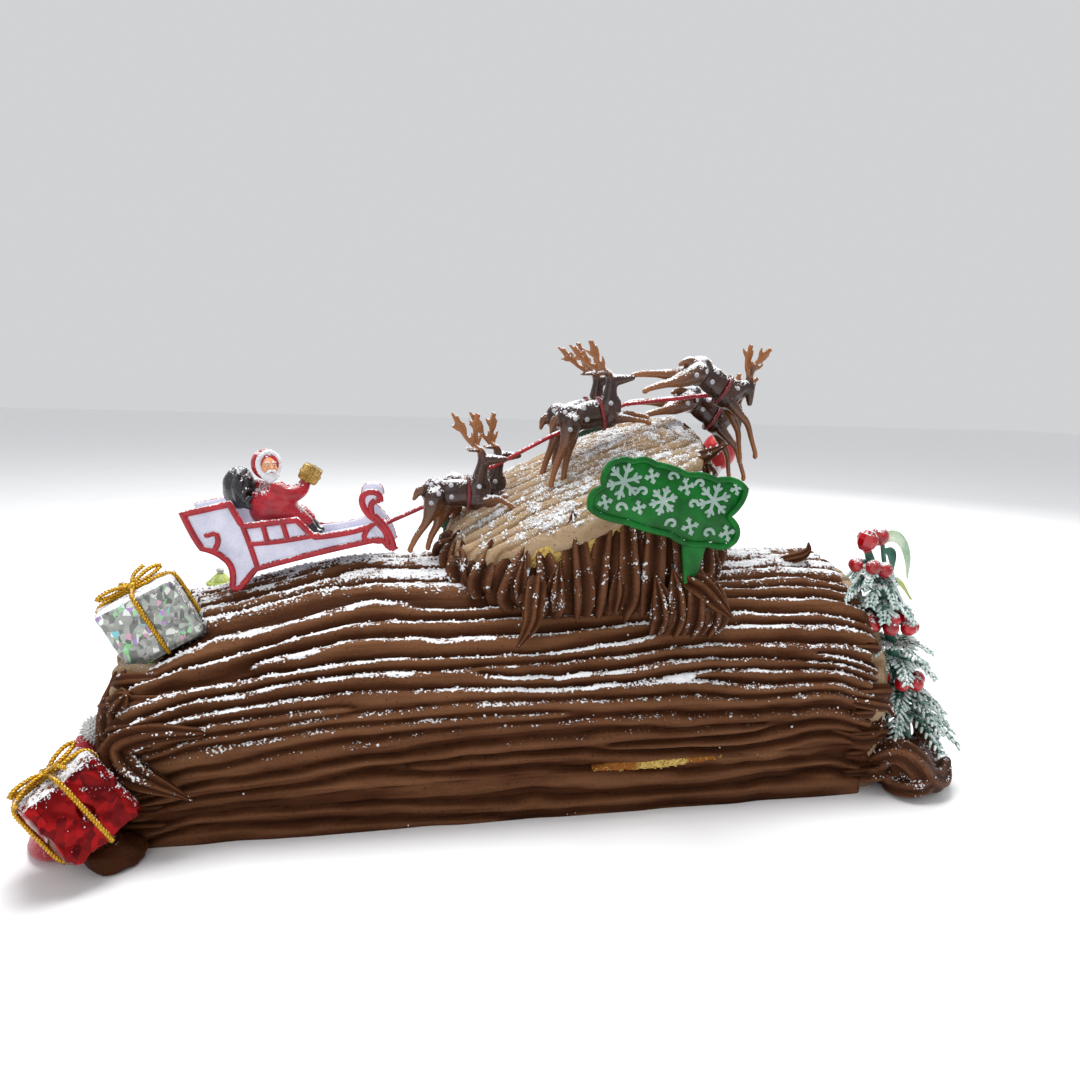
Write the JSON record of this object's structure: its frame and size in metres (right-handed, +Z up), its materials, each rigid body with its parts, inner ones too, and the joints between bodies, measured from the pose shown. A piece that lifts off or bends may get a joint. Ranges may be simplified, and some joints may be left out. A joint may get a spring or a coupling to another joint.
{
  "type": "yule log cake",
  "caption": "Rolled sponge cake under ribbed chocolate buttercream with an oblique stump, dusted with icing sugar and dressed with a sleigh team, a plaque, a berry tree and foil gifts.",
  "frame": {"origin": "middle of the log's flat underside, on the surface that the cake rests on", "axes": "+X along the log towards the end with the tree, +Z up, -Y towards the decorated front"},
  "size_m": [0.3826, 0.1421, 0.19],
  "materials": {
    "sponge": "open yellow sponge crumb",
    "chocolate_buttercream": "satin piped chocolate buttercream",
    "vanilla_buttercream": "satin piped pale buttercream",
    "deer_plastic": "moulded brown plastic",
    "red_plastic": "moulded red plastic",
    "white_plastic": "moulded white plastic",
    "green_plastic": "moulded green plastic",
    "fir_plastic": "moulded blue-green plastic with white tips",
    "leaf_plastic": "moulded pale green plastic",
    "berry_plastic": "glossy red plastic",
    "silver_foil": "crumpled prismatic silver foil",
    "red_foil": "crumpled red foil",
    "gold_cord": "twisted metallic gold cord",
    "red_felt": "red felt",
    "white_fluff": "white fluff"
  },
  "bodies": {
    "root": {"log_sponge": "sponge", "log_frosting": "chocolate_buttercream", "end_cream_left": "vanilla_buttercream", "end_cream_right": "vanilla_buttercream", "stump_sponge": "sponge", "stump_frosting": "chocolate_buttercream", "stump_cream": "vanilla_buttercream", "deer_1_near": "deer_plastic", "deer_1_far": "deer_plastic", "deer_2_near": "deer_plastic", "deer_2_far": "deer_plastic", "deer_3_near": "deer_plastic", "deer_3_far": "deer_plastic", "harness_shaft": "red_plastic", "sleigh": "white_plastic", "rider": "red_plastic", "plaque": "green_plastic", "tree_mound": "chocolate_buttercream", "tree": "fir_plastic", "tree_top_berry": "berry_plastic", "rear_sprig": "leaf_plastic", "silver_gift": "silver_foil", "silver_gift_cord": "gold_cord", "red_gift": "red_foil", "red_gift_cord": "gold_cord", "gift_dab": "chocolate_buttercream", "felt_hat": "red_felt", "felt_hat_bobble": "white_fluff", "bauble": "berry_plastic", "snow_figure": "white_plastic", "holly_sprig": "fir_plastic", "rear_leaf": "fir_plastic"}
  },
  "joints": []
}
